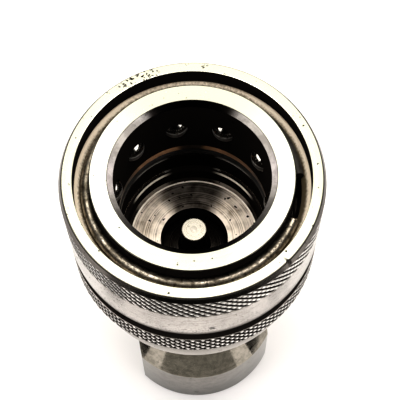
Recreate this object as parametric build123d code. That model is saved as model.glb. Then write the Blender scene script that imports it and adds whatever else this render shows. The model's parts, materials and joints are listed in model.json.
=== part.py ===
"""Socket half of a ball-locking quick disconnect coupler, 3/4 in size, with a poppet valve.

Millimetres. The origin is the centre of the threaded end's face. +Z points to the socket's mouth.
A plug enters the mouth, the balls drop into its groove, and the sprung sleeve holds them in.
"""

import math
import os

from build123d import *

# Overall
HEIGHT = 90.0
SLEEVE_TOP = 89.8
PLUG_BORE_R = 15.8
MOUTH_CHAMFER_DEPTH = 0.86
MOUTH_CHAMFER_WIDTH = 1.2
BODY_R = 20.6
SLEEVE_R = 26.75
SLIDE_GAP = 0.06
REST_GAP = 0.05
RING_GAP = 0.02
EDGE_BREAK = 0.25
WIDE_BREAK = 0.5

# Locking balls, seated in radial holes of the body
BALL_COUNT = 10
BALL_FIRST_ANGLE = 20.0
BALL_R = 3.0
BALL_PLANE_Z = 79.7
BALL_CENTRE_R = BODY_R - BALL_R
BALL_HOLE_R = 3.1
BALL_LIP_R = 2.5
BALL_SEAT_DEPTH = 1.0
BALL_HOLE_REACH = 2.0

# Sleeve
SLEEVE_BOTTOM = 49.1
FACE_OUTER_R = 26.1
FACE_INNER_R = 23.9
FACE_CHAMFER_Z = 88.4
TAIL_R = 24.5
TAIL_TOP = 59.5
UPPER_BAND_BOTTOM = 71.4
SLEEVE_GROOVE_TOP = 70.7
SLEEVE_GROOVE_BOTTOM = 68.3
SLEEVE_GROOVE_R = 26.05
LOWER_BAND_TOP = 67.9
LOWER_BAND_BOTTOM = 60.1
LOWER_BAND_BREAK = 0.6
RELEASE_R = 22.1
LOCK_LAND_R = 20.9
LOCK_LAND_TOP = 79.9
LOCK_LAND_BOTTOM = 77.4
SPRING_ROOF_Z = 72.0
SPRING_CHAMBER_R = 23.3
LEDGE_TOP = 85.64

# Wire ring that keeps the sleeve on, in a round-backed groove of the body
STOP_WIRE_R = 1.2
STOP_WIRE_CENTRE_R = 21.45
STOP_WIRE_Z = 85.1
STOP_WIRE_GAP_ANGLE = 27.0
STOP_WIRE_GAP_AT = -19.0
STOP_GROOVE_R = 20.2

# Sleeve spring, its washer and the snap ring below it
SNAP_RING_BOTTOM = 51.0
SNAP_RING_THICK = 1.5
SNAP_RING_INNER_R = 19.85
SNAP_RING_OUTER_R = 22.2
SNAP_GROOVE_R = 19.8
SNAP_RING_GAP_ANGLE = 24.0
SNAP_RING_GAP_AT = 180.0
SNAP_GROOVE_GAP = 0.1
WASHER_BOTTOM = 52.6
WASHER_THICK = 1.2
WASHER_INNER_R = 20.7
WASHER_OUTER_R = 23.1
SLEEVE_WIRE_R = 0.85
SLEEVE_COIL_R = 21.95
SLEEVE_COIL_TURNS = 5.0

# Seal groove in the plug bore
SEAL_GROOVE_TOP = 72.5
SEAL_GROOVE_R = 18.3
BORE_BACKUP_THICK = 1.75
BORE_BACKUP_INNER_R = 15.9
BORE_RING_WIRE_R = 1.3
BORE_RING_INNER_R = 15.65
SEAL_GROOVE_BOTTOM = SEAL_GROOVE_TOP - BORE_BACKUP_THICK - 2 * BORE_RING_WIRE_R - REST_GAP

# Cavity floor, throat and valve seat
STEP_Z = 62.9
LOWER_BORE_R = 14.9
FLOOR_Z = 57.9
FLOOR_R = 14.25
THROAT_R = 7.5
SEAT_TOP = 54.0
SEAT_R = 11.0
SEAT_BOTTOM = SEAT_TOP - (SEAT_R - THROAT_R)
CHAMBER_R = 12.5
GUIDE_SHOULDER_Z = 44.5

# Joint between body and rear adapter
BODY_BOTTOM = 31.0
BODY_WAIST_R = 17.8
BODY_TAPER_TOP = 38.5
BODY_TAPER_BOTTOM = 32.4
SEAL_BORE_R = 14.4
SEAL_BORE_BOTTOM = 37.3
BODY_THREAD_R = 15.0
THREAD_GAP = 0.05

# Rear adapter
BASE_R = 20.0
BASE_BAND_TOP = 16.2
NECK_R = 16.0
CONE_TOP = 24.05
FLAT_APOTHEM = 16.2
PORT_R = 12.06
PORT_MOUTH_R = 13.6
PORT_BOTTOM = 17.5
RELIEF_TOP = 18.8
PASSAGE_R = 10.8
SPIGOT_R = 14.3
SPIGOT_TOP = 42.5
SPIGOT_THREAD_TOP = 37.0
ADAPTER_GROOVE_BOTTOM = 38.0
ADAPTER_GROOVE_TOP = 41.3
ADAPTER_GROOVE_R = 12.4
ADAPTER_RING_WIRE_R = 0.97
ADAPTER_BACKUP_THICK = 1.1

# Valve poppet and its seal
NOSE_TIP_Z = 62.9
NOSE_R = 2.8
NOSE_BREAK = 0.2
NOSE_ROOT_R = 3.2
NOSE_ROOT_FLARE = 0.5
NOSE_ROOT_HEIGHT = 1.2
CENTRE_MARK_R = 0.7
POPPET_R = 10.8
POPPET_BACK_Z = 49.2
SEAT_GAP = 0.15
CONE_SET_BACK = 0.3
STEM_R = 2.5
STEM_BOTTOM = 30.0
STEM_BREAK = 0.3
SPRING_SPIGOT_R = 4.6
SPRING_SPIGOT_HEIGHT = 2.5
POPPET_RING_WIRE_R = 0.9

# Valve guide cage and valve spring
GUIDE_RING_THICK = GUIDE_SHOULDER_Z - SPIGOT_TOP
GUIDE_RING_R = 14.3
GUIDE_RING_BORE_R = 9.6
GUIDE_LEG_COUNT = 4
GUIDE_LEG_FIRST_ANGLE = 45.0
GUIDE_LEG_WIDTH = 3.2
GUIDE_LEG_INNER_R = 8.7
GUIDE_LEG_OUTER_R = 10.5
GUIDE_FOOT_BOTTOM = 33.0
GUIDE_FOOT_OVERLAP = 0.5
GUIDE_FOOT_TOP = 35.0
GUIDE_BOSS_R = 4.5
GUIDE_BOSS_TOP = 38.0
GUIDE_BORE_R = 2.57
VALVE_WIRE_R = 0.65
VALVE_COIL_R = 6.2
VALVE_COIL_TURNS = 5.5


def turned(points):
    """Solid of revolution from a closed outline of (radius, z) points."""
    outline = Polyline(*[(r, z) for r, z in points], close=True)
    return revolve(Plane.XZ * make_face(outline), Axis.Z, 360)


def flat_ring(inner_r, outer_r, bottom, thick):
    """Ring of rectangular section with slightly broken outer corners."""
    top = bottom + thick
    corner = min(EDGE_BREAK, thick / 4)
    return turned(
        [
            (inner_r, bottom),
            (outer_r - corner, bottom),
            (outer_r, bottom + corner),
            (outer_r, top - corner),
            (outer_r - corner, top),
            (inner_r, top),
        ]
    )


def o_ring(centre_r, z, wire_r):
    """Round-section ring about the Z axis."""
    return Pos(0, 0, z) * Torus(centre_r, wire_r)


def open_ring(face, gap_angle, gap_at):
    """Face on the XZ plane turned about Z, leaving a gap centred at gap_at degrees."""
    swept = revolve(face, Axis.Z, 360 - gap_angle)
    return Rot(0, 0, gap_at + gap_angle / 2) * swept


def coil_spring(coil_r, wire_r, bottom, top, turns):
    """Compression spring between two seat heights."""
    height = top - bottom - 2 * wire_r
    path = Pos(0, 0, bottom + wire_r) * Helix(height / turns, height, coil_r)
    section = Plane(origin=path @ 0, z_dir=path % 0) * Circle(wire_r)
    return sweep(section, path=path, is_frenet=True)


def ball_angles():
    """Angles of the ball holes about Z, in degrees."""
    return [BALL_FIRST_ANGLE + 360 / BALL_COUNT * i for i in range(BALL_COUNT)]


def ball_hole(angle):
    """Stepped cutter: narrow lip at the plug bore, cone seat, then a clear hole outwards."""
    cone_end = PLUG_BORE_R + BALL_SEAT_DEPTH
    outline = [
        (0, PLUG_BORE_R - BALL_HOLE_REACH),
        (BALL_LIP_R, PLUG_BORE_R - BALL_HOLE_REACH),
        (BALL_LIP_R, PLUG_BORE_R),
        (BALL_HOLE_R, cone_end),
        (BALL_HOLE_R, BODY_R + BALL_HOLE_REACH),
        (0, BODY_R + BALL_HOLE_REACH),
    ]
    return Pos(0, 0, BALL_PLANE_Z) * Rot(0, 0, angle) * Rot(0, 90, 0) * turned(outline)


def make_socket_body():
    """Front body: plug bore, ball holes, seal groove, valve seat and rear thread."""
    thread_r = BODY_THREAD_R + THREAD_GAP
    half_wire = STOP_WIRE_R + REST_GAP
    snap_groove_top = SNAP_RING_BOTTOM + SNAP_RING_THICK + SNAP_GROOVE_GAP
    snap_groove_bottom = SNAP_RING_BOTTOM - SNAP_GROOVE_GAP
    body = turned(
        [
            (thread_r, BODY_BOTTOM),
            (thread_r, SEAL_BORE_BOTTOM),
            (SEAL_BORE_R, SEAL_BORE_BOTTOM),
            (SEAL_BORE_R, GUIDE_SHOULDER_Z),
            (CHAMBER_R, GUIDE_SHOULDER_Z),
            (CHAMBER_R, SEAT_BOTTOM),
            (SEAT_R, SEAT_BOTTOM),
            (THROAT_R, SEAT_TOP),
            (THROAT_R, FLOOR_Z),
            (FLOOR_R, FLOOR_Z),
            (LOWER_BORE_R, FLOOR_Z + LOWER_BORE_R - FLOOR_R),
            (LOWER_BORE_R, STEP_Z - PLUG_BORE_R + LOWER_BORE_R),
            (PLUG_BORE_R, STEP_Z),
            (PLUG_BORE_R, SEAL_GROOVE_BOTTOM),
            (SEAL_GROOVE_R, SEAL_GROOVE_BOTTOM),
            (SEAL_GROOVE_R, SEAL_GROOVE_TOP),
            (PLUG_BORE_R, SEAL_GROOVE_TOP),
            (PLUG_BORE_R, HEIGHT - MOUTH_CHAMFER_DEPTH),
            (PLUG_BORE_R + MOUTH_CHAMFER_WIDTH, HEIGHT),
            (BODY_R - EDGE_BREAK, HEIGHT),
            (BODY_R, HEIGHT - EDGE_BREAK),
            (BODY_R, STOP_WIRE_Z + half_wire),
            (STOP_GROOVE_R, STOP_WIRE_Z + half_wire),
            (STOP_GROOVE_R, STOP_WIRE_Z - half_wire),
            (BODY_R, STOP_WIRE_Z - half_wire),
            (BODY_R, snap_groove_top),
            (SNAP_GROOVE_R, snap_groove_top),
            (SNAP_GROOVE_R, snap_groove_bottom),
            (BODY_R, snap_groove_bottom),
            (BODY_R, BODY_TAPER_TOP),
            (BODY_WAIST_R, BODY_TAPER_BOTTOM),
            (BODY_WAIST_R, BODY_BOTTOM + EDGE_BREAK),
            (BODY_WAIST_R - EDGE_BREAK, BODY_BOTTOM),
        ]
    )
    for angle in ball_angles():
        body -= ball_hole(angle)
    return body


def make_locking_sleeve():
    """Sliding sleeve at the knurl's crest size, with the release recess and the ball land."""
    ramp_top = LOCK_LAND_TOP + RELEASE_R - LOCK_LAND_R
    ledge_bottom = LEDGE_TOP - FACE_INNER_R + RELEASE_R
    return turned(
        [
            (SPRING_CHAMBER_R, SLEEVE_BOTTOM),
            (SPRING_CHAMBER_R, SPRING_ROOF_Z),
            (BODY_R + SLIDE_GAP, SPRING_ROOF_Z),
            (BODY_R + SLIDE_GAP, LOCK_LAND_BOTTOM),
            (LOCK_LAND_R, LOCK_LAND_BOTTOM),
            (LOCK_LAND_R, LOCK_LAND_TOP),
            (RELEASE_R, ramp_top),
            (RELEASE_R, ledge_bottom),
            (FACE_INNER_R, LEDGE_TOP),
            (FACE_INNER_R, SLEEVE_TOP),
            (FACE_OUTER_R, SLEEVE_TOP),
            (SLEEVE_R, FACE_CHAMFER_Z),
            (SLEEVE_R, UPPER_BAND_BOTTOM),
            (SLEEVE_GROOVE_R, SLEEVE_GROOVE_TOP),
            (SLEEVE_GROOVE_R, SLEEVE_GROOVE_BOTTOM),
            (SLEEVE_R, LOWER_BAND_TOP),
            (SLEEVE_R, LOWER_BAND_BOTTOM),
            (SLEEVE_R - LOWER_BAND_BREAK, TAIL_TOP),
            (TAIL_R, TAIL_TOP),
            (TAIL_R, SLEEVE_BOTTOM + WIDE_BREAK),
            (TAIL_R - WIDE_BREAK, SLEEVE_BOTTOM),
        ]
    )


def make_rear_adapter():
    """Rear end: threaded port, two wrench flats, cone, neck and the spigot that screws in."""
    adapter = turned(
        [
            (PORT_MOUTH_R, 0),
            (PORT_R, PORT_MOUTH_R - PORT_R),
            (PORT_R, PORT_BOTTOM),
            (PASSAGE_R, RELIEF_TOP),
            (PASSAGE_R, SPIGOT_TOP),
            (SPIGOT_R, SPIGOT_TOP),
            (SPIGOT_R, ADAPTER_GROOVE_TOP),
            (ADAPTER_GROOVE_R, ADAPTER_GROOVE_TOP),
            (ADAPTER_GROOVE_R, ADAPTER_GROOVE_BOTTOM),
            (SPIGOT_R, ADAPTER_GROOVE_BOTTOM),
            (SPIGOT_R, SPIGOT_THREAD_TOP),
            (BODY_THREAD_R, SPIGOT_THREAD_TOP - BODY_THREAD_R + SPIGOT_R),
            (BODY_THREAD_R, BODY_BOTTOM),
            (NECK_R, BODY_BOTTOM),
            (NECK_R, CONE_TOP),
            (BASE_R, BASE_BAND_TOP),
            (BASE_R, WIDE_BREAK),
            (BASE_R - WIDE_BREAK, 0),
        ]
    )
    between_flats = Pos(0, 0, SPIGOT_TOP / 2) * Box(2 * FLAT_APOTHEM, 3 * BASE_R, 2 * SPIGOT_TOP)
    return adapter & between_flats


def make_stop_wire():
    """Wire ring between body groove and sleeve ledge."""
    section = Plane.XZ * Pos(STOP_WIRE_CENTRE_R, STOP_WIRE_Z) * Circle(STOP_WIRE_R)
    return open_ring(section, STOP_WIRE_GAP_ANGLE, STOP_WIRE_GAP_AT)


def make_snap_ring():
    """Flat snap ring under the spring washer."""
    width = SNAP_RING_OUTER_R - SNAP_RING_INNER_R
    middle = (SNAP_RING_INNER_R + SNAP_RING_OUTER_R) / 2
    section = Pos(middle, SNAP_RING_BOTTOM + SNAP_RING_THICK / 2) * Rectangle(width, SNAP_RING_THICK)
    return open_ring(Plane.XZ * section, SNAP_RING_GAP_ANGLE, SNAP_RING_GAP_AT)


def poppet_ring_centre():
    """(radius, z) of the poppet seal's section: just short of the seat, halfway along its cone."""
    middle_r = (THROAT_R + SEAT_R) / 2
    middle_z = (SEAT_TOP + SEAT_BOTTOM) / 2
    back = (POPPET_RING_WIRE_R + REST_GAP) / math.sqrt(2)
    return middle_r - back, middle_z - back


def make_poppet():
    """Valve poppet: nose, sealing cone parallel to the seat, spring spigot and stem."""
    drop = SEAT_GAP * math.sqrt(2)
    cone_sum = THROAT_R + SEAT_TOP - drop
    cone_top_r = THROAT_R - CONE_SET_BACK
    cone_top_z = cone_sum - cone_top_r
    poppet = turned(
        [
            (0, STEM_BOTTOM),
            (STEM_R - STEM_BREAK, STEM_BOTTOM),
            (STEM_R, STEM_BOTTOM + STEM_BREAK),
            (STEM_R, POPPET_BACK_Z - SPRING_SPIGOT_HEIGHT),
            (SPRING_SPIGOT_R, POPPET_BACK_Z - SPRING_SPIGOT_HEIGHT),
            (SPRING_SPIGOT_R, POPPET_BACK_Z),
            (POPPET_R, POPPET_BACK_Z),
            (POPPET_R, cone_sum - POPPET_R),
            (cone_top_r, cone_top_z),
            (NOSE_ROOT_R + NOSE_ROOT_FLARE, cone_top_z + NOSE_ROOT_FLARE),
            (NOSE_ROOT_R, cone_top_z + NOSE_ROOT_HEIGHT),
            (NOSE_R, NOSE_TIP_Z - NOSE_BREAK),
            (NOSE_R - NOSE_BREAK, NOSE_TIP_Z),
            (CENTRE_MARK_R, NOSE_TIP_Z),
            (0, NOSE_TIP_Z - CENTRE_MARK_R),
        ]
    )
    ring_r, ring_z = poppet_ring_centre()
    return poppet - o_ring(ring_r, ring_z, POPPET_RING_WIRE_R + RING_GAP)


def make_valve_guide():
    """Cage: clamped ring, legs down to a cross, and a boss that guides the poppet's stem."""
    guide = flat_ring(GUIDE_RING_BORE_R, GUIDE_RING_R, SPIGOT_TOP, GUIDE_RING_THICK)
    leg_height = GUIDE_SHOULDER_Z - GUIDE_FOOT_BOTTOM
    leg_shell = turned(
        [
            (GUIDE_LEG_INNER_R, GUIDE_FOOT_BOTTOM),
            (GUIDE_LEG_OUTER_R, GUIDE_FOOT_BOTTOM),
            (GUIDE_LEG_OUTER_R, GUIDE_SHOULDER_Z),
            (GUIDE_LEG_INNER_R, GUIDE_SHOULDER_Z),
        ]
    )
    foot_height = GUIDE_FOOT_TOP - GUIDE_FOOT_BOTTOM
    foot_r = GUIDE_LEG_INNER_R + GUIDE_FOOT_OVERLAP
    foot_disc = Pos(0, 0, GUIDE_FOOT_BOTTOM + foot_height / 2) * Cylinder(foot_r, foot_height)
    for i in range(GUIDE_LEG_COUNT):
        turn = Rot(0, 0, GUIDE_LEG_FIRST_ANGLE + 360 / GUIDE_LEG_COUNT * i)
        bar = Pos(GUIDE_LEG_OUTER_R / 2, 0, GUIDE_FOOT_BOTTOM + leg_height / 2)
        slab = turn * bar * Box(GUIDE_LEG_OUTER_R + 1, GUIDE_LEG_WIDTH, leg_height)
        guide += leg_shell & slab
        guide += foot_disc & slab
    boss_height = GUIDE_BOSS_TOP - GUIDE_FOOT_BOTTOM
    boss_place = Pos(0, 0, GUIDE_FOOT_BOTTOM + boss_height / 2)
    guide += boss_place * Cylinder(GUIDE_BOSS_R, boss_height)
    return guide - boss_place * Cylinder(GUIDE_BORE_R, boss_height + 1)


def make_ball(angle):
    """One locking ball at its locked place."""
    return Rot(0, 0, angle) * Pos(BALL_CENTRE_R, 0, BALL_PLANE_Z) * Sphere(BALL_R)


def build():
    """All pieces, by node name."""
    washer_top = WASHER_BOTTOM + WASHER_THICK
    bore_ring_z = SEAL_GROOVE_BOTTOM + BORE_RING_WIRE_R + RING_GAP
    bore_ring_r = BORE_RING_INNER_R + BORE_RING_WIRE_R
    backup_bottom = SEAL_GROOVE_TOP - BORE_BACKUP_THICK
    adapter_ring_z = ADAPTER_GROOVE_TOP - ADAPTER_RING_WIRE_R - REST_GAP
    adapter_ring_r = ADAPTER_GROOVE_R + ADAPTER_RING_WIRE_R + RING_GAP
    ring_r, ring_z = poppet_ring_centre()
    nodes = {
        "socket_body": make_socket_body(),
        "locking_sleeve": make_locking_sleeve(),
        "rear_adapter": make_rear_adapter(),
        "sleeve_stop_wire": make_stop_wire(),
        "sleeve_spring": coil_spring(
            SLEEVE_COIL_R, SLEEVE_WIRE_R, washer_top + REST_GAP, SPRING_ROOF_Z - REST_GAP, SLEEVE_COIL_TURNS
        ),
        "spring_washer": flat_ring(WASHER_INNER_R, WASHER_OUTER_R, WASHER_BOTTOM, WASHER_THICK),
        "spring_snap_ring": make_snap_ring(),
        "plug_seal": o_ring(bore_ring_r, bore_ring_z, BORE_RING_WIRE_R),
        "plug_seal_backup": flat_ring(
            BORE_BACKUP_INNER_R, SEAL_GROOVE_R - REST_GAP, backup_bottom, BORE_BACKUP_THICK
        ),
        "valve_poppet": make_poppet(),
        "poppet_seal": o_ring(ring_r, ring_z, POPPET_RING_WIRE_R),
        "valve_spring": coil_spring(
            VALVE_COIL_R, VALVE_WIRE_R, GUIDE_FOOT_TOP + REST_GAP, POPPET_BACK_Z - REST_GAP, VALVE_COIL_TURNS
        ),
        "valve_guide": make_valve_guide(),
        "adapter_seal": o_ring(adapter_ring_r, adapter_ring_z, ADAPTER_RING_WIRE_R),
        "adapter_seal_backup": flat_ring(
            ADAPTER_GROOVE_R + REST_GAP, SPIGOT_R - REST_GAP, ADAPTER_GROOVE_BOTTOM, ADAPTER_BACKUP_THICK
        ),
    }
    for i, angle in enumerate(ball_angles(), start=1):
        nodes[f"lock_ball_{i:02d}"] = make_ball(angle)
    return nodes


os.makedirs("parts", exist_ok=True)
for name, shape in build().items():
    export_step(shape, f"parts/{name}.step")
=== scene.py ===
"""Looks of the quick disconnect coupler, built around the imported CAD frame.

Outlines and zones are in millimetres. What Blender and the frame hold is in metres.
"""

import json
import math

import bmesh
import bpy
import numpy as np
from mathutils import Matrix, Vector


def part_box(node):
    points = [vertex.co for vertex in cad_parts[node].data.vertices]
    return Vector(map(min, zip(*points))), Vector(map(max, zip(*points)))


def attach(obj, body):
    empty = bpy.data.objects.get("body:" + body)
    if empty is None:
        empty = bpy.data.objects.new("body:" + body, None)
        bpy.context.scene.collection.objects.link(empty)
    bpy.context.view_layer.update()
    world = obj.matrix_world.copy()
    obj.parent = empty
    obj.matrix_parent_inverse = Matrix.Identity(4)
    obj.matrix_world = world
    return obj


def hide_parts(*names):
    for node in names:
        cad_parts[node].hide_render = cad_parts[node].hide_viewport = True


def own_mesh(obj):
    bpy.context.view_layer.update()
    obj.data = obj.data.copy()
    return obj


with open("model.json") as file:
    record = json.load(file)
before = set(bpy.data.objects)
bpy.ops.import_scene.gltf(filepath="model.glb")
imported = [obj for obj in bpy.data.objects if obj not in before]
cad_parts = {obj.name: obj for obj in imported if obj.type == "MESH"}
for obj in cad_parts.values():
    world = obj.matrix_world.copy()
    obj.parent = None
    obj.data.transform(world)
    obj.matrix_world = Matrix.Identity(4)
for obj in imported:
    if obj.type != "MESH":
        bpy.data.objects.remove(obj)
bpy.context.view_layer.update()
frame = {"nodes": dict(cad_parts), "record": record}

MM = 0.001
TAU = 2 * math.pi


# ---------------- sizes taken from the frame

def corners(node):
    """Outer radius, bottom and top of a turned CAD node, in millimetres."""
    low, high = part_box(node)
    return high.x / MM, low.z / MM, high.z / MM


SLEEVE_R, SLEEVE_BOTTOM, SLEEVE_TOP = corners("locking_sleeve")
BODY_R, BODY_BOTTOM, BODY_TOP = corners("socket_body")
MOUNTS = {m["name"]: m for m in frame["record"]["mounts"]}
PORT_R = MOUNTS["port_thread"]["dims"]["r_mm"]
FLAT_X = MOUNTS["wrench_flat_right"]["pos_m"][0] / MM
BORE_R = MOUNTS["plug_bore"]["dims"]["r_mm"]
BASE_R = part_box("rear_adapter")[1].y / MM
NOSE_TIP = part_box("valve_poppet")[1].z / MM
CAVITY_DEPTH = 5.0
CAVITY_FLOOR = NOSE_TIP - CAVITY_DEPTH
CAVITY_R = 14.9
THROAT_R = 7.5
SEAL_GROOVE_LOW = BODY_TOP - 21.9
SEAL_GROOVE_HIGH = BODY_TOP - 17.5
MOUTH_CHAMFER = 1.2
SLEEVE_WALL_R = BODY_R + 3.3
NECK_R = 16.0
BASE_TOP = 16.2


# ---------------- mesh helpers

def rounded(points, radius=0.2, steps=4):
    """Closed outline of (radius, z) with each corner rounded, and a close support point each side of it."""
    result = []
    for i, corner in enumerate(points):
        here = np.array(corner[:2], float)
        reach = corner[2] if len(corner) > 2 else radius
        back = np.array(points[i - 1][:2], float) - here
        on = np.array(points[(i + 1) % len(points)][:2], float) - here
        length_back, length_on = np.linalg.norm(back), np.linalg.norm(on)
        back, on = back / length_back, on / length_on
        turn = math.acos(max(-1.0, min(1.0, float(back @ on))))
        if reach <= 0 or turn > math.radians(176):
            result.append(tuple(here))
            continue
        tangent = min(reach / math.tan(turn / 2), 0.42 * min(length_back, length_on))
        used = tangent * math.tan(turn / 2)
        centre = here + (back + on) / np.linalg.norm(back + on) * used / math.sin(turn / 2)
        start, end = here + back * tangent - centre, here + on * tangent - centre
        support = min(0.06, 0.1 * min(length_back, length_on))
        result.append(tuple(here + back * (tangent + support)))
        sweep = math.acos(max(-1.0, min(1.0, float(start @ end) / used**2)))
        for k in range(steps + 1):
            a = sweep * k / steps
            mixed = (math.sin(sweep - a) * start + math.sin(a) * end) / math.sin(sweep)
            result.append(tuple(centre + mixed))
        result.append(tuple(here + on * (tangent + support)))
    return result


def filled(loop, low, high, step, on_side):
    """Adds rows between the heights low and high to the stretch of the outline that on_side accepts."""
    result = []
    for i, here in enumerate(loop):
        after = loop[(i + 1) % len(loop)]
        result.append(here)
        if not (on_side(here) and on_side(after)):
            continue
        a, b = here[1], after[1]
        if abs(a - b) <= step:
            continue
        first, last = min(a, b), max(a, b)
        rows = np.arange(math.ceil(first / step) * step, last - step * 0.25, step)
        rows = [z for z in rows if first + step * 0.25 < z and low <= z <= high]
        rows = rows if b > a else rows[::-1]
        for z in rows:
            t = (z - a) / (b - a)
            result.append((here[0] + t * (after[0] - here[0]), z))
    return result


def as_object(name, vertices, faces, smooth_angle=40):
    """Mesh object from arrays, with outward normals and edges sharper than smooth_angle kept sharp."""
    mesh = bpy.data.meshes.new(name)
    mesh.from_pydata([tuple(v) for v in vertices], [], [tuple(f) for f in faces])
    work = bmesh.new()
    work.from_mesh(mesh)
    bmesh.ops.recalc_face_normals(work, faces=work.faces)
    work.to_mesh(mesh)
    work.free()
    mesh.polygons.foreach_set("use_smooth", [True] * len(mesh.polygons))
    mesh.set_sharp_from_angle(angle=math.radians(smooth_angle))
    obj = bpy.data.objects.new(name, mesh)
    bpy.context.scene.collection.objects.link(obj)
    return obj


def ring_faces(rows, columns):
    """Quads of a closed grid, rows by columns, wrapped both ways."""
    r, c = np.meshgrid(np.arange(rows), np.arange(columns), indexing="ij")
    r2, c2 = (r + 1) % rows, (c + 1) % columns
    quads = [r * columns + c, r2 * columns + c, r2 * columns + c2, r * columns + c2]
    return np.stack([q.ravel() for q in quads], axis=1)


def grid(loop, segments, angles=None):
    """Angle, radius and height of every vertex of an outline that is turned about Z."""
    if angles is None:
        angles = (np.arange(segments) * TAU / segments)[None, :]
    angle = np.broadcast_to(angles, (len(loop), segments))
    radius = np.broadcast_to(np.array([p[0] for p in loop])[:, None], angle.shape)
    height = np.broadcast_to(np.array([p[1] for p in loop])[:, None], angle.shape)
    return angle, radius, height


def lathe(name, loop, segments, shape=None, angles=None, smooth_angle=40):
    """Solid of revolution of an outline in millimetres. shape(angle, radius, z) returns changed radii."""
    angle, radius, height = grid(loop, segments, angles)
    if shape is not None:
        radius = shape(angle, radius, height)
    xyz = np.stack([radius * np.cos(angle), radius * np.sin(angle), height], axis=-1) * MM
    return as_object(name, xyz.reshape(-1, 3), ring_faces(len(loop), segments), smooth_angle)


def tube(name, centres, sides, wire_r, low=None, high=None):
    """Round wire along centres in millimetres, capped, and ground flat at the heights low and high."""
    centres = np.array(centres, float)
    along = np.gradient(centres, axis=0)
    along /= np.linalg.norm(along, axis=1)[:, None]
    out = centres * [1, 1, 0]
    out /= np.linalg.norm(out, axis=1)[:, None]
    up = np.cross(along, out)
    turn = np.arange(sides) * TAU / sides
    rings = (
        centres[:, None, :]
        + wire_r * np.cos(turn)[None, :, None] * out[:, None, :]
        + wire_r * np.sin(turn)[None, :, None] * up[:, None, :]
    )
    if low is not None:
        rings[..., 2] = np.clip(rings[..., 2], low, high)
    count = len(centres)
    faces = []
    for i in range(count - 1):
        for j in range(sides):
            k = (j + 1) % sides
            faces.append((i * sides + j, (i + 1) * sides + j, (i + 1) * sides + k, i * sides + k))
    faces.append(tuple(range(sides)))
    faces.append(tuple((count - 1) * sides + j for j in reversed(range(sides))))
    return as_object(name, rings.reshape(-1, 3) * MM, faces, 50)


# ---------------- material helpers

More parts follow.
